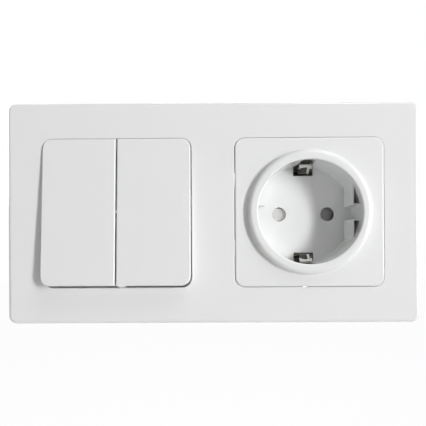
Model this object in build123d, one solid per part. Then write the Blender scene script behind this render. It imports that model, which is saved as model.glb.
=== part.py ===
from build123d import *
import math
import os

# Two-gang wall combination: a double rocker switch on the left and an earthed socket outlet on the
# right, behind one cover frame. Every piece is drawn in a face frame in millimetres, with x to the
# right, y up and z out of the wall, whose surface is z = 0. Writing a piece turns it upright, so that
# the front then faces -Y and up is +Z.

# Cover frame: one thin moulding with two windows
gang_pitch = 71.0
frame_width = 152.4
frame_height = 81.7
frame_depth = 9.0
frame_wall = 2.0
frame_front_wall = 2.2
frame_corner_radius = 3.0
frame_edge_radius = 1.4
window_size = 55.2
window_corner_radius = 3.8
window_edge_radius = 0.3
guide_wall = 1.2
guide_depth = 3.8
rib_wall = 1.0
rib_offset = 17.0
ledge_reach = 1.3
ledge_length = 12.0
ledge_thickness = 2.5
ledge_seat_gap = 0.1

# Steel support plates that screw to the wall box
plate_gap = 1.0
plate_margin = 3.5
plate_thickness = 1.0
plate_corner_radius = 6.0
box_screw_spacing = 60.0
box_slot_width = 3.6
box_slot_length = 6.5
grip_width = 6.0
grip_depth = 5.2
grip_offset = 13.0
catch_width = 3.0
catch_top = 2.2
catch_bottom = 4.4
grip_lug_rise = 0.8
opening_clearance = 0.4

# Rockers, drawn level and then tipped to the rest position with the upper edge pressed in
rocker_side_gap = 0.3
rocker_end_gap = 0.55
rocker_split_gap = 0.5
rocker_rise = 2.5
rocker_front_wall = 2.0
rocker_skirt_wall = 1.3
rocker_skirt_depth = 7.3
rocker_corner_radius = 3.5
rocker_edge_radius = 0.45
rocker_tilt = 3.75
ledge_clearance = 0.9
nub_radius = 0.7
nub_reach = 0.22
nub_drop = 0.1
clip_wall = 1.4
clip_width = 5.0
clip_nose = 0.9
clip_gap = 0.3

# Toggles: the levers that carry the rockers and push the contacts over
pivot_height = 5.0
toggle_width = 9.0
toggle_length = 14.0
toggle_flange = 4.6
toggle_edge_radius = 1.0
axle_radius = 1.8
axle_clearance = 0.06
stem_width = 6.4
stem_reach = 12.0
stem_edge_radius = 0.8
spring_bore_radius = 2.0
spring_bore_top = 1.6
plunger_clearance = 0.15
plunger_guide = 5.0
plunger_reach = 17.5
plunger_nose_radius = 1.1
spring_wire_radius = 0.28
spring_wire_sides = 6
spring_clearance = 0.25
spring_turns = 4.5

# Contacts of the switch
blade_tilt = 6.0
blade_width = 4.8
blade_thickness = 0.7
blade_half_length = 8.6
blade_gap = 0.2
blade_end_gap = 0.8
bead_radius = 0.8
bead_drop = 0.6
cradle_clearance = 0.06
cradle_floor = 0.34
contact_offset = 7.0
rivet_radius = 1.4
rivet_height = 0.6
rivet_gap = 0.12
stop_gap = 0.25
strip_thickness = 0.8
strip_width = 5.0
strip_bend = 1.0
bar_width = 3.2

# Switch housing and base
switch_base_width = 42.0
switch_base_height = 44.0
switch_base_radius = 5.0
switch_base_depth = 26.0
housing_recess_depth = 9.0
housing_wall = 1.8
housing_top = 2.2
housing_flange = 3.0
housing_edge_radius = 0.5
base_wall = 2.0
housing_clearance = 0.1
cheek_wall = 2.4
cheek_length = 7.2
cheek_height = 7.3
cheek_gap = 0.3
cheek_edge_radius = 0.8
stem_clearance = 0.6
snap_width = 2.9
stem_window_length = 10.4
channel_width = 7.8
pocket_clearance = 0.1
snap_lug_width = 6.0
snap_lug_reach = 0.4
snap_lug_depth = 4.5

# Screw terminals, the same in both inserts
clamp_size = 7.4
clamp_wall = 1.0
clamp_depth = 5.6
clamp_lead = 0.4
terminal_distance = 15.0
screw_radius = 1.4
screw_clearance = 0.1
screw_head_radius = 2.5
screw_head_height = 1.5
screw_edge = 0.5
screw_slot_width = 0.7
screw_slot_depth = 0.7
screw_length = 5.6
wire_port_width = 5.2
wire_port_height = 3.4

# Socket front: centre plate, collar and plug recess in one moulding
insert_gap = 0.13
insert_rise = 0.4
insert_thickness = 2.0
insert_corner_radius = 3.5
insert_edge_radius = 0.6
insert_rim_inset = 2.25
insert_rim_wall = 1.4
insert_rim_depth = 3.9
collar_radius = 22.8
collar_rise = 2.9
collar_edge_radius = 1.7
collar_lip_radius = 0.5
collar_foot_radius = 0.5
edge_match = 0.01
recess_radius = 19.15
recess_depth = 15.0
recess_floor = 1.0
recess_corner_radius = 0.5
cup_wall = 1.55
key_distance = 16.1
key_drop = 0.5
key_wall = 0.5
key_groove_width = 5.3
key_pocket_floor = 2.0
key_roof = 1.2
key_skin = 0.15
pin_spacing = 19.0
pin_hole_radius = 2.75
earth_notch_width = 7.7
earth_notch_start = 15.1
earth_slot_width = 5.4
earth_slot_depth = 1.8
earth_slot_drop = 1.8
latch_offset = 21.8
latch_size = 3.0
latch_wall = 1.6
latch_nose = 0.8
latch_nose_height = 1.3
latch_clearance = 0.5

# Socket inside
socket_base_size = 46.0
socket_base_radius = 10.0
socket_base_depth = 27.0
cup_clearance = 0.3
cavity_depth = 9.0
post_radius = 1.9
post_clearance = 0.08
post_below_floor = 0.7
shutter_gap = 0.2
shutter_height = 3.8
wing_thickness = 1.3
shutter_reach = 13.2
shutter_half_width = 3.4
shutter_hub_radius = 4.0
shutter_ramp = 0.9
shutter_tip_radius = 1.7
leaf_wall = 0.4
leaf_width = 1.8
leaf_gap = 0.15
leaf_anchor_angle = 20.0
sleeve_bore_radius = 2.55
sleeve_wall = 0.7
sleeve_slit = 1.0
sleeve_top = 10.8
sleeve_clearance = 0.35
socket_terminal_offset = 11.0
earth_strap_width = 6.0
earth_strap_drop = 1.0
earth_arm_width = 4.8
earth_arm_distance = 17.5
earth_contact_distance = 15.9
earth_tip_distance = 18.6
earth_bend_height = -0.8
earth_tip_height = 2.6

# Places worked out from the sizes above
gang_centres = (-gang_pitch / 2, gang_pitch / 2)
switch_x, socket_x = gang_centres
plate_width = (frame_width - plate_gap) / 2 - frame_wall - plate_margin
plate_height = frame_height - 2 * (frame_wall + plate_margin)
plate_shift = (plate_width + plate_gap - gang_pitch) / 2
rocker_width = (window_size - 2 * rocker_side_gap - rocker_split_gap) / 2
rocker_height = window_size - 2 * rocker_end_gap
rocker_front = frame_depth + rocker_rise
rocker_back = rocker_front - rocker_front_wall
rocker_skirt_end = rocker_front - rocker_skirt_depth
channel_offset = (rocker_width + rocker_split_gap) / 2
channels = (-channel_offset, channel_offset)
insert_size = window_size - 2 * insert_gap
insert_front = frame_depth + insert_rise
insert_back = insert_front - insert_thickness
ledge_top = insert_back - ledge_seat_gap
toggle_bottom = rocker_back - toggle_flange
stem_end = pivot_height - stem_reach
plunger_tip = pivot_height - plunger_reach
plunger_radius = spring_bore_radius - plunger_clearance
plunger_top = stem_end + plunger_guide
blade_top = plunger_tip - blade_gap
blade_bottom = blade_top - blade_thickness
blade_pivot = blade_bottom - bead_drop
tilt_sin = math.sin(math.radians(blade_tilt))
tilt_cos = math.cos(math.radians(blade_tilt))
rivet_face = bead_drop - rivet_height
rivet_drop = (contact_offset + rivet_radius) * tilt_sin
fixed_rivet_top = blade_pivot - rivet_drop + rivet_face * tilt_cos - rivet_gap
fixed_strip_top = fixed_rivet_top - rivet_height
blade_stop = blade_pivot - blade_half_length * tilt_sin + bead_drop * tilt_cos - stop_gap
cradle_radius = bead_radius + cradle_clearance
bar_top = blade_pivot - cradle_radius - cradle_floor
bar_bottom = bar_top - strip_thickness
housing_width = switch_base_width - 2 * base_wall - 2 * housing_clearance
housing_height = switch_base_height - 2 * base_wall - 2 * housing_clearance
clamp_top = min(fixed_strip_top, bar_top) - strip_thickness - clamp_lead
clamp_bottom = clamp_top - clamp_depth
clamp_middle = (clamp_top + clamp_bottom) / 2
tail_distance = terminal_distance - clamp_size / 2 + clamp_wall + strip_thickness / 2 + pocket_clearance
rim_front = frame_depth + collar_rise
floor_front = rim_front - recess_depth
floor_back = floor_front - recess_floor
cup_radius = recess_radius + cup_wall
cavity_radius = cup_radius + cup_clearance
shutter_front = floor_back - shutter_gap
shutter_back = shutter_front - shutter_height
strap_top = -cavity_depth - earth_strap_drop
strap_bottom = strap_top - strip_thickness
sleeve_bottom = clamp_bottom - pocket_clearance - strip_bend - strip_thickness / 2
sleeve_radius = sleeve_bore_radius + sleeve_wall
switch_terminals = ((-channel_offset, 1), (channel_offset, 1), (0.0, -1))
socket_terminals = ((-socket_terminal_offset, 1), (socket_terminal_offset, 1), (0.0, -1))


def slab(width, height, z0, z1, x=0.0, y=0.0, radius=0.0):
    """Straight block between two heights, with round upright edges where a radius is given."""
    outline = RectangleRounded(width, height, radius) if radius else Rectangle(width, height)
    return Pos(x, y, z0) * extrude(outline, z1 - z0)


def rod(radius, z0, z1, x=0.0, y=0.0):
    """Round bar standing along z."""
    return Pos(x, y, (z0 + z1) / 2) * Cylinder(radius, z1 - z0)


def cross_rod(radius, length, x=0.0, z=0.0):
    """Round bar lying along x."""
    return Pos(x, 0, z) * Rot(0, 90, 0) * Cylinder(radius, length)


def bent_strip(points, width, x=0.0):
    """Sheet strip bent along points given as (y, z)."""
    section = trace(FilletPolyline(*points, radius=strip_bend), strip_thickness)
    return Pos(x, 0, 0) * extrude(Plane.YZ * section, width / 2, both=True)


def wedge(points, width, x=0.0):
    """Prism with its outline in (y, z), centred on one x."""
    outline = make_face(Polyline(*points, close=True))
    return Pos(x, 0, 0) * extrude(Plane.YZ * outline, width / 2, both=True)


def tipped(shape, height, degrees):
    """Turn a shape about the level axis at one height."""
    return Pos(0, 0, height) * Rot(degrees, 0, 0) * Pos(0, 0, -height) * shape


def front_edges(shape):
    return shape.faces().sort_by(Axis.Z)[-1].edges()


def cover_frame():
    back = frame_depth - frame_front_wall
    body = slab(frame_width, frame_height, 0, frame_depth, radius=frame_corner_radius)
    body = fillet(front_edges(body), frame_edge_radius)
    inner = max(frame_corner_radius - frame_wall, window_edge_radius)
    body -= slab(frame_width - 2 * frame_wall, frame_height - 2 * frame_wall, 0, back, radius=inner)
    guide = window_size + 2 * guide_wall
    for y in (-rib_offset, rib_offset):
        body += slab(frame_width - frame_wall, rib_wall, back - guide_depth, back, y=y)
    for x in gang_centres:
        body += slab(guide, guide, back - guide_depth, back, x, radius=window_corner_radius + guide_wall)
        for side in (-rib_offset, rib_offset):
            body += slab(rib_wall, frame_height - frame_wall, back - guide_depth, back, x + side)
    for x in gang_centres:
        body -= slab(window_size, window_size, 0, 2 * frame_depth, x, radius=window_corner_radius)
    rims = [edge for wire in body.faces().sort_by(Axis.Z)[-1].inner_wires() for edge in wire.edges()]
    body = fillet(rims, window_edge_radius)
    for x in gang_centres:
        for side in (-1, 1):
            middle = x + side * (window_size + guide_wall - ledge_reach) / 2
            body += slab(
                ledge_reach + guide_wall, ledge_length, ledge_top - ledge_thickness, ledge_top, middle
            )
    return body


def support_plate(opening, base_width, side):
    """Stamped plate with box-screw slots and four lanced tabs that grip the insulating base.

    It fills its half of the frame; side is -1 for the left half and 1 for the right half.
    """
    outline = RectangleRounded(plate_width, plate_height, plate_corner_radius)
    outline = Pos(side * plate_shift, 0) * outline - opening
    slot = SlotOverall(box_slot_length, box_slot_width)
    for end in (-1, 1):
        outline -= Pos(end * box_screw_spacing / 2, 0) * slot
        outline -= Pos(0, end * box_screw_spacing / 2) * Rot(0, 0, 90) * slot
    plate = extrude(outline, plate_thickness)
    inner = base_width / 2 + pocket_clearance
    outer = inner + plate_thickness
    lanced = grip_depth - plate_thickness
    for end in (-1, 1):
        tab_x = end * (inner + outer) / 2
        lance_x = end * (outer + lanced / 2)
        for y in (-grip_offset, grip_offset):
            plate -= slab(lanced, grip_width + 2 * pocket_clearance, 0, plate_thickness, lance_x, y)
            tab = slab(plate_thickness, grip_width, -grip_depth, plate_thickness, tab_x, y)
            tab -= slab(2 * plate_thickness, catch_width, -catch_bottom, -catch_top, tab_x, y)
            plate += tab
    return plate


def grip_lugs(base_width):
    """Wedges on the sides of a base that click into the windows of the plate's tabs."""
    low = pocket_clearance - catch_bottom
    high = -catch_top - pocket_clearance
    half_width = catch_width / 2 - pocket_clearance
    lugs = []
    for side in (-1, 1):
        face = side * base_width / 2
        root = face - side * grip_lug_rise
        points = ((root, low), (root, high), (face, high), (face + side * grip_lug_rise, low))
        section = make_face(Polyline(*points, close=True))
        for y in (-grip_offset, grip_offset):
            lugs.append(Pos(0, y, 0) * extrude(Plane.XZ * section, half_width, both=True))
    return lugs


def rocker(side):
    """One rocker cap; side is -1 for the left one and 1 for the right one."""
    outline = Rectangle(rocker_width, rocker_height)
    corners = outline.vertices().group_by(Axis.X)
    outer = corners[-1] if side > 0 else corners[0]
    outline = fillet(outer, rocker_corner_radius)
    body = Pos(0, 0, rocker_skirt_end) * extrude(outline, rocker_skirt_depth)
    body = fillet(front_edges(body), rocker_edge_radius)
    inner_width = rocker_width - 2 * rocker_skirt_wall
    inner_height = rocker_height - 2 * rocker_skirt_wall
    hollow_radius = rocker_corner_radius - rocker_skirt_wall
    body -= slab(inner_width, inner_height, rocker_skirt_end, rocker_back, radius=hollow_radius)
    notch_top = ledge_top + ledge_clearance
    notch_length = ledge_length + 2 * ledge_clearance
    notch_depth = 2 * rocker_skirt_wall
    body -= slab(notch_depth, notch_length, rocker_skirt_end, notch_top, side * rocker_width / 2)
    nub_edge = -side * (rocker_width / 2 + nub_reach - nub_radius)
    body += rod(nub_radius, rocker_back, rocker_front - nub_drop, nub_edge)
    nose_top = toggle_bottom - pocket_clearance
    for end in (-1, 1):
        inside = end * (toggle_length / 2 + clip_gap)
        outside = inside + end * clip_wall
        hook = inside - end * clip_nose
        foot = nose_top - clip_nose
        points = (
            (inside, rocker_back + clip_gap),
            (outside, rocker_back + clip_gap),
            (outside, foot),
            (inside, foot),
            (hook, nose_top - clip_gap),
            (hook, nose_top),
            (inside, nose_top),
        )
        body += wedge(points, clip_width)
    return tipped(Pos(side * channel_offset, 0, 0) * body, pivot_height, -rocker_tilt)


def toggle(x):
    body = slab(toggle_width, toggle_length, toggle_bottom, rocker_back)
    body = fillet(body.edges().filter_by(Axis.Z), toggle_edge_radius)
    body += slab(stem_width, stem_width, stem_end, toggle_bottom, radius=stem_edge_radius)
    body += cross_rod(axle_radius, toggle_width + 2 * cheek_wall, z=pivot_height)
    body -= rod(spring_bore_radius, stem_end, spring_bore_top)
    return tipped(Pos(x, 0, 0) * body, pivot_height, -rocker_tilt)


def plunger(x):
    """Turned pin with a round nose that slides over the contact blade."""
    shoulder = plunger_tip + plunger_radius + plunger_nose_radius
    section = make_face(
        Polyline(
            (0, plunger_tip),
            (plunger_nose_radius, plunger_tip),
            (plunger_radius, shoulder),
            (plunger_radius, plunger_top),
            (0, plunger_top),
            close=True,
        )
    )
    nose = section.vertices().sort_by_distance((plunger_nose_radius, plunger_tip, 0))[0]
    section = fillet(nose, plunger_nose_radius)
    body = revolve(Plane.XZ * section, axis=Axis.Z)
    return tipped(Pos(x, 0, 0) * body, pivot_height, -rocker_tilt)


def toggle_spring(x):
    length = spring_bore_top - plunger_top - 2 * spring_wire_radius
    radius = spring_bore_radius - spring_clearance - spring_wire_radius
    path = Helix(length / spring_turns, length, radius)
    wire = Plane(origin=path @ 0, z_dir=path % 0) * RegularPolygon(spring_wire_radius, spring_wire_sides)
    coil = Pos(x, 0, plunger_top + spring_wire_radius) * sweep(wire, path=path, is_frenet=True)
    return tipped(coil, pivot_height, -rocker_tilt)


def contact_blade(x):
    """Seesaw blade with a pivot bead under its middle and a silver rivet under its upper end."""
    body = slab(blade_width, 2 * blade_half_length, blade_bottom, blade_top, radius=rivet_radius)
    body += cross_rod(bead_radius, blade_width, z=blade_pivot)
    body += rod(rivet_radius, blade_bottom - rivet_height, blade_bottom, y=contact_offset)
    return tipped(Pos(x, 0, 0) * body, blade_pivot, blade_tilt)


def common_contact_bar():
    """Live bar across both channels, with a cradle for each blade and a tail to the lower terminal."""
    length = 2 * channel_offset + blade_width
    middle = (bar_top + bar_bottom) / 2
    body = slab(length, bar_width, bar_bottom, bar_top)
    path = ((0, middle), (-tail_distance, middle), (-tail_distance, clamp_bottom))
    body += bent_strip(path, strip_width)
    for x in channels:
        cradle = slab(blade_width, bar_width, bar_top, blade_pivot, x)
        body += cradle - cross_rod(cradle_radius, 2 * blade_width, x, blade_pivot)
    return body


def fixed_contact(x):
    middle = fixed_strip_top - strip_thickness / 2
    start = contact_offset - rivet_radius
    path = ((start, middle), (tail_distance, middle), (tail_distance, clamp_bottom))
    body = bent_strip(path, strip_width, x)
    return body + rod(rivet_radius, fixed_strip_top, fixed_rivet_top, x, contact_offset)


def switch_housing():
    """Inner cover that plugs into the base and carries the bearings of both toggles."""
    flange_width = housing_width + 2 * housing_flange
    flange_height = housing_height + 2 * housing_flange
    body = slab(flange_width, flange_height, plate_thickness, housing_top, radius=switch_base_radius)
    body = fillet(front_edges(body), housing_edge_radius)
    bottom = -housing_recess_depth
    body += slab(housing_width, housing_height, bottom, housing_top, radius=switch_base_radius)
    inner_width = housing_width - 2 * housing_wall
    inner_height = housing_height - 2 * housing_wall
    inner_radius = switch_base_radius - housing_wall
    body -= slab(inner_width, inner_height, bottom, 0, radius=inner_radius)
    for x in channels:
        for side in (-1, 1):
            inner = toggle_width / 2 + cheek_gap
            middle = x + side * (inner + cheek_wall / 2)
            cheek = slab(cheek_wall, cheek_length, plate_thickness, cheek_height, middle)
            cheek = fillet(front_edges(cheek).filter_by(Axis.X), cheek_edge_radius)
            cheek -= cross_rod(axle_radius + axle_clearance, 2 * cheek_wall, middle, pivot_height)
            cheek -= slab(2 * cheek_wall, snap_width, pivot_height, cheek_height, middle)
            body += cheek
        body -= slab(stem_width + 2 * stem_clearance, stem_window_length, bottom, housing_top, x)
    for side in (-1, 1):
        face = side * housing_height / 2
        low = -snap_lug_depth - snap_lug_reach
        root = face - side * housing_wall / 2
        tip = face + side * snap_lug_reach
        lug = ((root, low), (tip, low), (face, -housing_wall), (root, -housing_wall))
        body += wedge(lug, snap_lug_width)
    return body


def terminal_pocket(x, end, wall_face, mouth, back):
    """Everything a screw terminal takes out of its base: chamber, side access and wire port."""
    room = clamp_size + 2 * pocket_clearance
    floor = clamp_bottom - pocket_clearance
    roof = clamp_top + pocket_clearance
    reach = wall_face - terminal_distance
    y = end * terminal_distance
    chamber = slab(room, room, floor, mouth, x, y)
    access = slab(room, reach, floor, roof, x, y + end * reach / 2)
    port = slab(wire_port_width, wire_port_height, back, floor, x, y + end * clamp_wall / 2)
    return [chamber, access, port]


def switch_base():
    body = slab(switch_base_width, switch_base_height, -switch_base_depth, 0, radius=switch_base_radius)
    body = fillet(body.faces().sort_by(Axis.Z)[0].edges(), base_wall / 2)
    recess_width = switch_base_width - 2 * base_wall
    recess_height = switch_base_height - 2 * base_wall
    mouth = -housing_recess_depth
    body -= slab(recess_width, recess_height, mouth, 0, radius=switch_base_radius)
    room = 2 * pocket_clearance
    for x in channels:
        body -= slab(channel_width, 2 * (blade_half_length + blade_end_gap), blade_stop, mouth, x)
        start = contact_offset - rivet_radius - room
        end = tail_distance + strip_thickness / 2 + pocket_clearance
        slot_y = (start + end) / 2
        body -= slab(strip_width + room, end - start, fixed_strip_top - strip_thickness, mouth, x, slot_y)
    body -= slab(2 * channel_offset + blade_width + room, bar_width + room, bar_bottom, mouth)
    tail = tail_distance + strip_thickness / 2 + pocket_clearance
    body -= slab(strip_width + room, tail, bar_bottom, mouth, y=-tail / 2)
    for x, end in switch_terminals:
        for cut in terminal_pocket(x, end, switch_base_height / 2, mouth, -switch_base_depth):
            body -= cut
    groove = snap_lug_reach + pocket_clearance
    low = -snap_lug_depth - snap_lug_reach - pocket_clearance
    body -= slab(snap_lug_width + room, recess_height + 2 * groove, low, -housing_wall)
    for lug in grip_lugs(switch_base_width):
        body += lug
    return body


def terminal_clamps(terminals):
    """Folded cages that a screw pulls up on the wire."""
    cages = []
    bore = clamp_size - 2 * clamp_wall
    for x, end in terminals:
        y = end * terminal_distance
        cage = slab(clamp_size, clamp_size, clamp_bottom, clamp_top, x, y, radius=clamp_wall)
        cage -= slab(bore, bore, clamp_bottom, clamp_top, x, y, radius=clamp_wall / 2)
        hole = Pos(x, y + end * clamp_size / 2, clamp_middle) * Rot(90, 0, 0)
        cages.append(cage - hole * Cylinder(screw_radius + screw_clearance, 4 * clamp_wall))
    return cages


def terminal_screws(terminals):
    """Slotted pan-head screws, drawn along z and laid along y."""
    section = make_face(
        Polyline(
            (0, -screw_length),
            (screw_radius - screw_edge, -screw_length),
            (screw_radius, screw_edge - screw_length),
            (screw_radius, 0),
            (screw_head_radius, 0),
            (screw_head_radius, screw_head_height - screw_edge),
            (screw_head_radius - screw_edge, screw_head_height),
            (0, screw_head_height),
            close=True,
        )
    )
    screw = revolve(Plane.XZ * section, axis=Axis.Z)
    slot_floor = screw_head_height - screw_slot_depth
    screw -= slab(3 * screw_head_radius, screw_slot_width, slot_floor, screw_head_height)
    screws = []
    for x, end in terminals:
        seat = end * (terminal_distance + clamp_size / 2 + screw_clearance)
        screws.append(Pos(x, seat, clamp_middle) * Rot(-90 * end, 0, 0) * screw)
    return screws


def socket_front():
    section = make_face(
        Polyline(
            (0, floor_front),
            (recess_radius, floor_front),
            (recess_radius, rim_front),
            (collar_radius, rim_front),
            (collar_radius, insert_back),
            (cup_radius, insert_back),
            (cup_radius, floor_back),
            (0, floor_back),
            close=True,
        )
    )
    rounds = (
        (recess_radius, floor_front, recess_corner_radius),
        (recess_radius, rim_front, collar_lip_radius),
        (collar_radius, rim_front, collar_edge_radius),
    )
    for x, z, radius in rounds:
        section = fillet(section.vertices().sort_by_distance((x, z, 0))[0], radius)
    plate = slab(insert_size, insert_size, insert_back, insert_front, radius=insert_corner_radius)
    plate = fillet(front_edges(plate), insert_edge_radius)
    rim = insert_size - 2 * insert_rim_inset
    plate += slab(rim, rim, insert_back - insert_rim_depth, insert_back, radius=insert_corner_radius)
    hollow = rim - 2 * insert_rim_wall
    plate -= slab(hollow, hollow, insert_back - insert_rim_depth, insert_back, radius=insert_corner_radius)
    plate -= rod((recess_radius + cup_radius) / 2, insert_back, insert_front)
    body = plate + revolve(Plane.XZ * section, axis=Axis.Z)
    foot = [
        edge
        for edge in body.edges().filter_by(GeomType.CIRCLE)
        if abs(edge.radius - collar_radius) < edge_match and abs(edge.center().Z - insert_front) < edge_match
    ]
    body = fillet(foot, collar_foot_radius)
    body += plug_keys()
    for cut in recess_cuts() + key_pockets():
        body -= cut
    for leg in latch_legs():
        body += leg
    return body


def plug_keys():
    """Flat guides at both sides of the recess, with a groove between each pair for the plug's rib."""
    wide = 4 * recess_radius
    ring = Circle(recess_radius + cup_wall / 2)
    guides = ring - Rectangle(2 * key_distance, wide) - Rectangle(wide, key_groove_width)
    return Pos(0, 0, floor_back) * extrude(guides, frame_depth - key_drop - floor_back)


def key_pockets():
    """Hollows of the guides: the right pair is open to the front, the left pair is cored from behind."""
    wide = 4 * recess_radius
    top = frame_depth - key_drop
    behind = 2 * (key_distance + key_wall)
    beside = key_groove_width + 2 * key_wall
    outlines = Circle(recess_radius - key_skin) - Rectangle(behind, wide) - Rectangle(wide, beside)
    right_half = Pos(wide / 2, 0) * Rectangle(wide, wide)
    pocket_floor = floor_front + key_pocket_floor
    front_pockets = Pos(0, 0, pocket_floor) * extrude(outlines & right_half, top - pocket_floor)
    back_pockets = Pos(0, 0, floor_back) * extrude(outlines - right_half, top - key_roof - floor_back)
    return [front_pockets, back_pockets]


def recess_cuts():
    """Pin holes, and for each earth clip a notch in the floor and a slot up the wall."""
    cuts = []
    for side in (-1, 1):
        cuts.append(rod(pin_hole_radius, floor_back, floor_front, side * pin_spacing / 2))
        depth = recess_radius + recess_corner_radius - earth_notch_start
        middle = side * (earth_notch_start + depth / 2)
        cuts.append(slab(earth_notch_width, depth, floor_back, floor_front + recess_corner_radius, y=middle))
        depth = recess_radius + earth_slot_depth - earth_notch_start
        middle = side * (earth_notch_start + depth / 2)
        cuts.append(slab(earth_slot_width, depth, floor_back, rim_front - earth_slot_drop, y=middle))
    return cuts


def latch_legs():
    """Four legs behind the centre plate that hook under the steel support plate."""
    legs = []
    inner = latch_offset - latch_wall / 2
    outer = latch_offset + latch_wall / 2
    for x in (-latch_offset, latch_offset):
        for side in (-1, 1):
            points = (
                (side * inner, insert_back),
                (side * outer, insert_back),
                (side * outer, -pocket_clearance),
                (side * (outer + latch_nose), -pocket_clearance),
                (side * outer, -latch_nose_height),
                (side * inner, -latch_nose_height),
            )
            legs.append(wedge(points, latch_size, x))
    return legs


def latch_holes():
    """Openings in the socket's support plate for those legs."""
    width = latch_size + 2 * latch_clearance
    height = latch_wall + 2 * latch_clearance
    holes = []
    for x in (-latch_offset, latch_offset):
        for y in (-latch_offset, latch_offset):
            holes.append(Pos(x, y) * Rectangle(width, height))
    return holes


def socket_support_plate():
    opening = Circle(cavity_radius)
    for hole in latch_holes():
        opening += hole
    return support_plate(opening, socket_base_size, 1)


def shutter():
    """Stepped shutter: its left wing lies close behind the floor and its right wing deep in the base.

    Only two pins together push both ramps aside, because one alone rocks it against its post.
    """
    body = rod(shutter_hub_radius, shutter_back, shutter_front)
    width = 2 * shutter_half_width
    for side, back in ((-1, shutter_front - wing_thickness), (1, shutter_back)):
        wing = slab(shutter_reach, width, back, back + wing_thickness, side * shutter_reach / 2)
        tip = wing.edges().filter_by(Axis.Z).group_by(Axis.X)[-1 if side > 0 else 0]
        wing = fillet(tip, shutter_tip_radius)
        ramp = front_edges(wing).filter_by(Axis.X).sort_by(Axis.Y)[0 if side > 0 else -1]
        body += chamfer(ramp, shutter_ramp)
    return body - rod(post_radius + post_clearance, shutter_back, shutter_front)


def shutter_spring():
    """Bent leaf between the cavity wall and the edge of the right wing."""
    wing_edge = shutter_half_width + leaf_gap + leaf_wall / 2
    anchor = (cavity_radius - leaf_gap) * math.cos(math.radians(leaf_anchor_angle)) - leaf_wall
    points = (
        (shutter_reach - leaf_width, wing_edge),
        (shutter_hub_radius + leaf_width, wing_edge + leaf_wall),
        (shutter_hub_radius + leaf_width, anchor),
    )
    section = trace(FilletPolyline(*points, radius=leaf_width), leaf_wall)
    return Pos(0, 0, shutter_back) * extrude(section, leaf_width)


def pin_contact(side):
    """Slit sleeve for one plug pin, with a strip along its foot up into its terminal cage."""
    x = side * pin_spacing / 2
    sleeve = rod(sleeve_radius, sleeve_bottom, -sleeve_top, x)
    middle = sleeve_bottom + strip_thickness / 2
    strip_x = side * socket_terminal_offset
    path = ((sleeve_bore_radius, middle), (tail_distance, middle), (tail_distance, clamp_top))
    body = sleeve + bent_strip(path, strip_width, strip_x)
    body -= rod(sleeve_bore_radius, sleeve_bottom, -sleeve_top, x)
    slit_bottom = sleeve_bottom + 2 * strip_thickness
    return body - slab(sleeve_slit, 2 * sleeve_radius, slit_bottom, -sleeve_top, x, -sleeve_radius)


def earth_bracket():
    """Sprung strap under the recess floor whose two ends rise through the notches as side contacts."""
    level = (strap_top + strap_bottom) / 2
    knee = floor_front - strip_thickness / 2
    arm = (
        (earth_arm_distance, level),
        (earth_arm_distance, knee),
        (earth_contact_distance, earth_bend_height),
        (earth_tip_distance, earth_tip_height),
    )
    lower = [(-y, z) for y, z in reversed(arm)]
    body = bent_strip((*lower, *arm), earth_strap_width)
    for side in (-1, 1):
        trim = side * (earth_strap_width + earth_arm_width) / 4
        width = (earth_strap_width - earth_arm_width) / 2
        span = 2 * cavity_radius
        body -= slab(width, span, floor_back, 2 * earth_tip_height, trim)
    tail = ((-tail_distance / 2, level), (-tail_distance, level), (-tail_distance, clamp_bottom))
    body += bent_strip(tail, strip_width)
    return body - rod(post_radius + 2 * pocket_clearance, strap_bottom, strap_top)


def socket_base():
    body = slab(socket_base_size, socket_base_size, -socket_base_depth, 0, radius=socket_base_radius)
    body = fillet(body.faces().sort_by(Axis.Z)[0].edges(), base_wall / 2)
    body -= rod(cavity_radius, -cavity_depth, 0)
    room = 2 * pocket_clearance
    strap_length = 2 * (earth_arm_distance + strip_thickness / 2 + pocket_clearance)
    body -= slab(earth_strap_width + room, strap_length, strap_bottom, -cavity_depth)
    tail_end = tail_distance + strip_thickness / 2 + pocket_clearance
    for side in (-1, 1):
        x = side * pin_spacing / 2
        body -= rod(sleeve_radius + sleeve_clearance, sleeve_bottom, -cavity_depth, x)
        strip_x = side * socket_terminal_offset
        body -= slab(strip_width + room, tail_end, sleeve_bottom, -cavity_depth, strip_x, tail_end / 2)
    tail_length = tail_end - earth_strap_width
    tail_y = -(tail_end + earth_strap_width) / 2
    body -= slab(strip_width + room, tail_length, clamp_bottom, -cavity_depth, y=tail_y)
    for x, end in socket_terminals:
        mouth = -cavity_depth if x == 0 else clamp_top + pocket_clearance
        for cut in terminal_pocket(x, end, socket_base_size / 2, mouth, -socket_base_depth):
            body -= cut
    body += rod(post_radius, strap_bottom, floor_back - post_below_floor)
    for lug in grip_lugs(socket_base_size):
        body += lug
    return body


def switch_support_plate():
    width = housing_width + 2 * opening_clearance
    height = housing_height + 2 * opening_clearance
    opening = RectangleRounded(width, height, switch_base_radius)
    return support_plate(opening, switch_base_width, -1)


def write(name, shape, x=0.0):
    """Turn a piece upright, move it to its gang and write it."""
    solids = shape if isinstance(shape, list) else [shape]
    placed = [Rot(90, 0, 0) * Pos(x, 0, 0) * solid for solid in solids]
    export_step(placed[0] if len(placed) == 1 else Compound(children=placed), f"parts/{name}.step")


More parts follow.
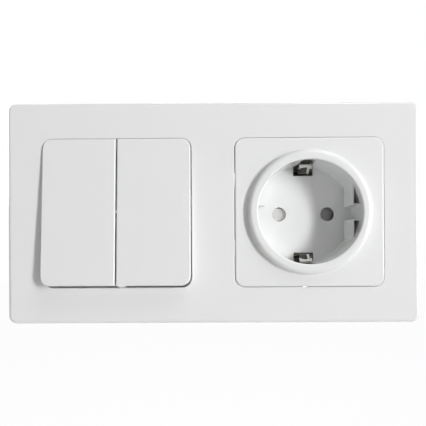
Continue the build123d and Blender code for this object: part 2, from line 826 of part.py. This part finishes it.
os.makedirs("parts", exist_ok=True)
write("cover_frame", cover_frame())
for name, side in (("left", -1), ("right", 1)):
    x = side * channel_offset
    write(f"{name}_rocker", rocker(side), switch_x)
    write(f"{name}_toggle", toggle(x), switch_x)
    write(f"{name}_plunger", plunger(x), switch_x)
    write(f"{name}_toggle_spring", toggle_spring(x), switch_x)
    write(f"{name}_contact_blade", contact_blade(x), switch_x)
    write(f"{name}_fixed_contact", fixed_contact(x), switch_x)
write("common_contact_bar", common_contact_bar(), switch_x)
write("switch_housing", switch_housing(), switch_x)
write("switch_base", switch_base(), switch_x)
write("switch_support_plate", switch_support_plate(), switch_x)
write("switch_terminal_clamps", terminal_clamps(switch_terminals), switch_x)
write("switch_terminal_screws", terminal_screws(switch_terminals), switch_x)
write("socket_front", socket_front(), socket_x)
write("socket_shutter", shutter(), socket_x)
write("shutter_spring", shutter_spring(), socket_x)
write("neutral_contact", pin_contact(-1), socket_x)
write("line_contact", pin_contact(1), socket_x)
write("earth_bracket", earth_bracket(), socket_x)
write("socket_base", socket_base(), socket_x)
write("socket_support_plate", socket_support_plate(), socket_x)
write("socket_terminal_clamps", terminal_clamps(socket_terminals), socket_x)
write("socket_terminal_screws", terminal_screws(socket_terminals), socket_x)
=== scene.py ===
import math

import bmesh
import bpy
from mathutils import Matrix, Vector


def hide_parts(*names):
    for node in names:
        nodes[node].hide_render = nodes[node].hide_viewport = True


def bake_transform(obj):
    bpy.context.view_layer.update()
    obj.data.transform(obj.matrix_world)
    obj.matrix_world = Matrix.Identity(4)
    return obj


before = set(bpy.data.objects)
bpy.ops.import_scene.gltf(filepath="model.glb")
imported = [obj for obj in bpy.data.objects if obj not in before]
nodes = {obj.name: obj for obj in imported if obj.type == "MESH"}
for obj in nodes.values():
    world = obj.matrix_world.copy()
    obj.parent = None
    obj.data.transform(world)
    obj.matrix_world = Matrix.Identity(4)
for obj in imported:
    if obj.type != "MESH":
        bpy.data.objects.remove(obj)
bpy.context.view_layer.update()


# Cover frame: one thin two-window moulding of glossy white thermoplastic, clipped behind the inserts.
# It comes out of a polished tool, so the skin is smooth with a faint orange peel and hardly any grain.
# Lengths are in metres, here and below; mm and micron keep the small ones readable.
mm = 0.001
micron = 0.000001
plastic_ior = 1.5
frame_deep = (0.820, 0.820, 0.820, 1)
frame_pale = (0.840, 0.840, 0.838, 1)
frame_roughness = 0.14


class Value:
    """A shader socket that takes part in Python arithmetic; each operation adds one Math node."""

    def __init__(self, graph, socket):
        self.graph = graph
        self.socket = socket

    def maths(self, operation, *terms):
        return self.graph.add("ShaderNodeMath", {"operation": operation}, dict(enumerate(terms)))

    def __add__(self, other):
        return self.maths("ADD", self, other)

    def __sub__(self, other):
        return self.maths("SUBTRACT", self, other)

    def __rsub__(self, other):
        return self.maths("SUBTRACT", other, self)

    def __mul__(self, other):
        return self.maths("MULTIPLY", self, other)

    def __abs__(self):
        return self.maths("ABSOLUTE", self)

    __radd__ = __add__
    __rmul__ = __mul__


class Graph:
    """The nodes of a material or of the surround."""

    def __init__(self, tree):
        self.tree = tree

    def add(self, kind, settings=None, inputs=None, output=0):
        """Add a node with its settings, feed its inputs and give one of its outputs."""
        node = self.tree.nodes.new(kind)
        for name, setting in (settings or {}).items():
            setattr(node, name, setting)
        for key, value in (inputs or {}).items():
            self.feed(node.inputs[key], value)
        return Value(self, node.outputs[output])

    def feed(self, socket, value):
        if isinstance(value, Value):
            self.tree.links.new(value.socket, socket)
        else:
            socket.default_value = value

    def seen(self):
        """One where a surface is met by the camera, a reflection or a look through glass, else nothing."""
        kinds = ("Is Camera Ray", "Is Glossy Ray", "Is Transmission Ray")
        camera_ray, mirror_ray, glass_ray = (self.add("ShaderNodeLightPath", output=kind) for kind in kinds)
        return camera_ray + mirror_ray + glass_ray


class Finish(Graph):
    """A material under construction, with its shader and the nodes that feed it."""

    def __init__(self, name):
        self.material = bpy.data.materials.new(name)
        self.material.use_nodes = True
        super().__init__(self.material.node_tree)
        self.shader = self.tree.nodes["Principled BSDF"]
        self.place = self.add("ShaderNodeTexCoord", output="Object")

    def surface(self, **inputs):
        """Feed the shader's sockets; base_color stands for Base Color and ior for IOR."""
        for name, value in inputs.items():
            self.feed(self.shader.inputs[name.replace("_", " ").title().replace("Ior", "IOR")], value)

    def noise(self, grain, detail=2.0, stretch=(1, 1, 1)):
        """Noise whose lumps are about one grain across, in metres, longer along the stretched axes."""
        vector = self.add("ShaderNodeVectorMath", {"operation": "DIVIDE"}, {0: self.place, 1: stretch})
        inputs = {"Vector": vector, "Scale": 1 / grain, "Detail": detail}
        return self.add("ShaderNodeTexNoise", inputs=inputs)

    def blend(self, share, first, second):
        """Colour between two colours; the Mix node keeps its colour sockets at six and seven."""
        return self.add("ShaderNodeMix", {"data_type": "RGBA"}, {0: share, 6: first, 7: second}, 2)

    def bump(self, height, distance):
        """Fine relief, in metres."""
        self.surface(normal=self.add("ShaderNodeBump", inputs={"Height": height, "Distance": distance}))


def dress(finish, *names):
    """Give CAD pieces a finish."""
    for name in names:
        slots = nodes[name].data.materials
        slots.clear()
        slots.append(finish.material)


def gloss_white(name, deep, pale, roughness):
    """Polished white moulding: a slow drift of tone, fine flow mottle and an orange-peel skin."""
    finish = Finish(name)
    drift = finish.noise(20 * mm)
    mottle = finish.noise(1.2 * mm, detail=4.0)
    peel = finish.noise(0.9 * mm, detail=1.0)
    tone = finish.blend(drift * 0.7 + mottle * 0.3, deep, pale)
    finish.surface(base_color=tone, roughness=roughness - 0.04 + mottle * 0.08, ior=plastic_ior)
    finish.bump(peel, 4 * micron)
    return finish


frame_white = gloss_white("frame_white", frame_deep, frame_pale, frame_roughness)
dress(frame_white, "cover_frame")


# Rockers: two white caps moulded from the same plastic as the frame, in a tool as finely polished.
# They clip on the toggles behind them.
rocker_deep = (0.814, 0.815, 0.816, 1)
rocker_pale = (0.832, 0.833, 0.834, 1)
rocker_roughness = 0.14

rocker_white = gloss_white("rocker_white", rocker_deep, rocker_pale, rocker_roughness)
dress(rocker_white, "left_rocker", "right_rocker")


# Toggles, plungers and inner cover: harder off-white plastic with a dull, slightly glass-filled skin.
# The toggles turn in the cheeks of the cover, and each plunger slides in its toggle's stem.
lever_deep = (0.62, 0.60, 0.55, 1)
lever_pale = (0.72, 0.70, 0.65, 1)

lever_plastic = Finish("lever_plastic")
fibre = lever_plastic.noise(0.6 * mm, detail=5.0, stretch=(1, 1, 4))
cloud = lever_plastic.noise(8 * mm)
lever_tone = lever_plastic.blend(fibre * 0.5 + cloud * 0.5, lever_deep, lever_pale)
lever_plastic.surface(base_color=lever_tone, roughness=0.38 + fibre * 0.18, ior=plastic_ior)
lever_plastic.bump(fibre, 12 * micron)
dress(lever_plastic, "left_toggle", "right_toggle", "left_plunger", "right_plunger", "switch_housing")


# Toggle springs: coils of drawn steel wire in the toggles' stems, bright with lengthwise draw lines.
# Each one pushes its plunger against the contact blade.
steel_deep = (0.42, 0.42, 0.43, 1)
steel_pale = (0.60, 0.60, 0.61, 1)

spring_steel = Finish("spring_steel")
draw_lines = spring_steel.noise(0.3 * mm, detail=3.0, stretch=(6, 1, 1))
steel_tone = spring_steel.blend(draw_lines, steel_deep, steel_pale)
spring_steel.surface(base_color=steel_tone, metallic=1.0, roughness=0.20 + draw_lines * 0.18)
spring_steel.bump(draw_lines, 6 * micron)
dress(spring_steel, "left_toggle_spring", "right_toggle_spring")


# Leaf spring: a bent strip of the same steel between the wall and the edge of the shutter's right wing.
# It is a copy of the CAD leaf with cuts across its upright part, from the elbow above its arm to the end
# at the wall; the CAD leaf itself is hidden.
leaf_points = [corner.co for corner in nodes["shutter_spring"].data.vertices]
leaf_arm_height = 1.25 * mm
leaf_wall_end = max(point.z for point in leaf_points)
leaf_elbow = min(point.z for point in leaf_points) + leaf_arm_height
leaf_cuts = 12

leaf_build = bmesh.new()
leaf_build.from_mesh(nodes["shutter_spring"].data)
for cut in range(1, leaf_cuts):
    level = leaf_elbow + (leaf_wall_end - leaf_elbow) * cut / leaf_cuts
    everything = leaf_build.verts[:] + leaf_build.edges[:] + leaf_build.faces[:]
    bmesh.ops.bisect_plane(leaf_build, geom=everything, plane_co=(0, 0, level), plane_no=(0, 0, 1))
leaf_mesh = bpy.data.meshes.new("shutter_leaf")
leaf_build.to_mesh(leaf_mesh)
leaf_build.free()
leaf_mesh.materials.append(spring_steel.material)
leaf = bpy.data.objects.new("shutter_leaf", leaf_mesh)
bpy.context.scene.collection.objects.link(leaf)
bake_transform(leaf)
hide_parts("shutter_spring")


# Current-carrying pieces: stamped and bent brass strip, yellow with a light brown tarnish in patches.
# They lie in channels of the bases and reach into the terminal cages.
brass_yellow = (0.78, 0.56, 0.25, 1)
brass_brown = (0.60, 0.40, 0.17, 1)

brass = Finish("brass")
tarnish = brass.noise(3.5 * mm, detail=4.0)
rolled = brass.noise(0.4 * mm, stretch=(1, 1, 8))
brass_tone = brass.blend(tarnish, brass_yellow, brass_brown)
brass.surface(base_color=brass_tone, metallic=1.0, roughness=0.20 + rolled * 0.14 + tarnish * 0.10)
brass.bump(rolled, 5 * micron)
dress(brass, "left_contact_blade", "right_contact_blade", "left_fixed_contact", "right_fixed_contact")
dress(brass, "common_contact_bar", "line_contact", "neutral_contact")


# Bases: pressed thermoset blocks in pale grey, matt, with fine filler specks and a faint flow cloud.
# Four lugs on each one snap into the tabs of its support plate.
base_deep = (0.50, 0.49, 0.46, 1)
base_pale = (0.66, 0.65, 0.62, 1)

base_thermoset = Finish("base_thermoset")
speck = base_thermoset.noise(0.5 * mm)
flow = base_thermoset.noise(12 * mm, detail=3.0)
base_tone = base_thermoset.blend(speck * 0.5 + flow * 0.5, base_deep, base_pale)
base_thermoset.surface(base_color=base_tone, roughness=0.48 + speck * 0.20, ior=plastic_ior)
base_thermoset.bump(speck, 20 * micron)
dress(base_thermoset, "switch_base", "socket_base")


# Support plates, clamps and screws: stamped steel with a bluish zinc coat, which shows rolling lines
# and a soft spangle. The plates screw to the wall boxes and carry the bases in their lanced tabs.
zinc_deep = (0.52, 0.54, 0.57, 1)
zinc_pale = (0.70, 0.72, 0.74, 1)

zinc = Finish("zinc_plated_steel")
spangle = zinc.noise(3 * mm, detail=3.0)
rolling = zinc.noise(0.4 * mm, detail=3.0, stretch=(12, 1, 1))
zinc_tone = zinc.blend(spangle * 0.6 + rolling * 0.4, zinc_deep, zinc_pale)
zinc.surface(base_color=zinc_tone, metallic=1.0, roughness=0.28 + spangle * 0.16 + rolling * 0.08)
zinc.bump(rolling, 6 * micron)
dress(zinc, "switch_support_plate", "socket_support_plate")
dress(zinc, "switch_terminal_clamps", "switch_terminal_screws")
dress(zinc, "socket_terminal_clamps", "socket_terminal_screws")


# Socket front: centre plate, collar and plug recess in one white moulding that latches to its plate.
# Its tool is polished like the frame's, but the deep recess leaves the skin a little less sharp.
socket_deep = (0.820, 0.828, 0.822, 1)
socket_pale = (0.838, 0.846, 0.840, 1)
socket_roughness = 0.19

socket_white = gloss_white("socket_white", socket_deep, socket_pale, socket_roughness)
dress(socket_white, "socket_front")


# Shutter: a small two-winged moulding that turns on a post behind the pin holes and covers them.
# Its white is painted grey as painted shade of the hole, so the left pin hole shows as a pale grey disc.
# These grey colours are painted shade: the shade inside the pin holes, laid onto the shutter's colour.
shutter_shade_deep = (0.62, 0.62, 0.61, 1)
shutter_shade_pale = (0.66, 0.66, 0.65, 1)
shutter_roughness = 0.28

shutter_painted_shade = gloss_white("shutter_painted_shade", shutter_shade_deep, shutter_shade_pale, shutter_roughness)
dress(shutter_painted_shade, "socket_shutter")


# Earth bracket: springy copper alloy strip with a bright nickel coat, bent so that its two ends stand
# in the recess as side contacts. A painted highlight lies on an arch at each tip and on one line beside
# the middle; between these the coat is painted dark, as a painted dark reflection with tone at random.
bracket_points = [corner.co for corner in nodes["earth_bracket"].data.vertices]
bracket_sides = [point.x for point in bracket_points]
contact_middle = (min(bracket_sides) + max(bracket_sides)) / 2
contact_tip = min(point.y for point in bracket_points)
# Where the painted highlights lie: an arch at each tip, and a line beside the middle that stops before the
# crest.
arch_depth = contact_tip + 0.95 * mm
arch_bend = 140.0
highlight_line = contact_middle + 1.2 * mm
highlight_half_width = 0.6 * mm
highlight_fade = 0.3 * mm
crest_depth = contact_tip + 3.85 * mm
# Colours of the painted dark reflection, then of the painted highlight.
dark_reflection_deep = (0.03, 0.03, 0.028, 1)
dark_reflection_pale = (0.22, 0.21, 0.19, 1)
painted_highlight_colour = (0.92, 0.91, 0.88, 1)

nickel = Finish("nickel")
rub = nickel.noise(0.5 * mm, detail=3.0, stretch=(1, 10, 1))
patches = nickel.noise(2.2 * mm)
across = nickel.add("ShaderNodeSeparateXYZ", inputs={0: nickel.place}, output="X")
depth = nickel.add("ShaderNodeSeparateXYZ", inputs={0: nickel.place}, output="Y")


def ramp(finish, value, start, end):
    """Rises from nothing at the start to one at the end."""
    return finish.add("ShaderNodeMapRange", inputs={"Value": value, "From Min": start, "From Max": end})


# Mask of the painted highlight, built from the arch, the line and the crest.
off_middle = across - contact_middle
arch = depth - off_middle * off_middle * arch_bend
at_tip = ramp(nickel, arch, arch_depth, arch_depth - highlight_fade)
on_line = ramp(nickel, abs(across - highlight_line), highlight_half_width, highlight_half_width - highlight_fade)
before_crest = ramp(nickel, depth, crest_depth, crest_depth - highlight_fade)
painted_highlight = ramp(nickel, at_tip + on_line * before_crest, 0.0, 1.0)
# Painted dark reflection with tone at random, and the painted highlight over it.
dark_reflection_tone = nickel.blend(rub * 0.4 + patches * 0.6, dark_reflection_deep, dark_reflection_pale)
nickel_tone = nickel.blend(painted_highlight, dark_reflection_tone, painted_highlight_colour)
nickel.surface(base_color=nickel_tone, metallic=1.0, roughness=0.12 + rub * 0.16 + painted_highlight * 0.12)
nickel.bump(rub, 4 * micron)
dress(nickel, "earth_bracket")


# Studio: a pale floor well below the part and a white surround, which lights softly and shows white.
# The floor keeps a trace of its shading, so that a shadow on it stays visible.
floor_height = -0.25
floor_reach = 3.0
floor_corners = ((-1, -1), (1, -1), (1, 1), (-1, 1))
floor_grain = 0.05
floor_tone_deep = (0.83, 0.83, 0.83, 1)
floor_tone_pale = (0.87, 0.87, 0.87, 1)
floor_white = 0.97
surround_level = 0.14
white = (1, 1, 1, 1)

floor_points = [(x * floor_reach, y * floor_reach, floor_height) for x, y in floor_corners]
floor_mesh = bpy.data.meshes.new("floor")
floor_mesh.from_pydata(floor_points, [], [(0, 1, 2, 3)])
floor = bpy.data.objects.new("floor", floor_mesh)
bpy.context.scene.collection.objects.link(floor)
floor_pale = Finish("floor_pale")
dust = floor_pale.noise(floor_grain, detail=3.0)
floor_tone = floor_pale.blend(dust, floor_tone_deep, floor_tone_pale)
floor_pale.surface(base_color=floor_tone, roughness=0.7)
glow = floor_pale.add("ShaderNodeEmission", inputs={"Color": white, "Strength": 1.0})
shaded = Value(floor_pale, floor_pale.shader.outputs["BSDF"])
shown_white = floor_pale.seen() * floor_white
shown = floor_pale.add("ShaderNodeMixShader", inputs={0: shown_white, 1: shaded, 2: glow})
floor_pale.feed(floor_pale.tree.nodes["Material Output"].inputs["Surface"], shown)
floor_mesh.materials.append(floor_pale.material)

world = bpy.data.worlds.new("white_surround")
world.use_nodes = True
bpy.context.scene.world = world
surround = Graph(world.node_tree)
backdrop = world.node_tree.nodes["Background"]
surround.feed(backdrop.inputs["Color"], white)
surround.feed(backdrop.inputs["Strength"], surround_level + surround.seen() * (1 - surround_level))


# Lamps: a tall, narrow key lamp at the right with a grid that keeps it off the floor. A softer lamp above
# lifts the upper edges, and two behind light the back and the left side.
key_angle = math.radians(47.0)
key_distance = 1.7
key_height = 0.05
key_place = (key_distance * math.sin(key_angle), -key_distance * math.cos(key_angle), key_height)


def soft_lamp(name, place, width, height, power, spread):
    """Rectangular studio lamp turned to the part, with its beam narrowed to the spread in degrees."""
    lamp = bpy.data.lights.new(name, "AREA")
    lamp.shape = "RECTANGLE"
    lamp.size = width
    lamp.size_y = height
    lamp.energy = power
    lamp.spread = math.radians(spread)
    holder = bpy.data.objects.new(name, lamp)
    holder.location = place
    holder.rotation_euler = (-Vector(place)).to_track_quat("-Z", "Y").to_euler()
    bpy.context.scene.collection.objects.link(holder)


soft_lamp("key_lamp", key_place, width=0.20, height=1.3, power=4.0, spread=60)
soft_lamp("top_lamp", (0.35, -0.40, 0.95), width=0.5, height=0.5, power=0.5, spread=60)
soft_lamp("left_lamp", (-1.2, 0.6, 0.5), width=0.8, height=0.8, power=1.9, spread=50)
soft_lamp("back_lamp", (0.2, 1.25, 0.4), width=0.8, height=0.8, power=1.5, spread=50)


# Camera: close and level, a little below the middle, with the lens shifted up as the photograph has it.
# The photograph is a trace off square, so the camera is turned and rolled by a fraction of a degree.
camera_place = (0.0007, -0.179, -0.0125)
camera_level = math.radians(90)
camera_roll = math.radians(0.33)
camera_turn = math.radians(0.4)

camera = bpy.data.cameras.new("camera")
camera.sensor_width = 36.0
camera.lens = 38.9
camera.shift_x = 0.0025
camera.shift_y = 0.0786
camera.clip_start = 0.01
camera_holder = bpy.data.objects.new("camera", camera)
camera_holder.location = camera_place
camera_holder.rotation_euler = (camera_level, camera_roll, camera_turn)
bpy.context.scene.collection.objects.link(camera_holder)
bpy.context.scene.camera = camera_holder
bpy.context.scene.view_settings.view_transform = "Standard"
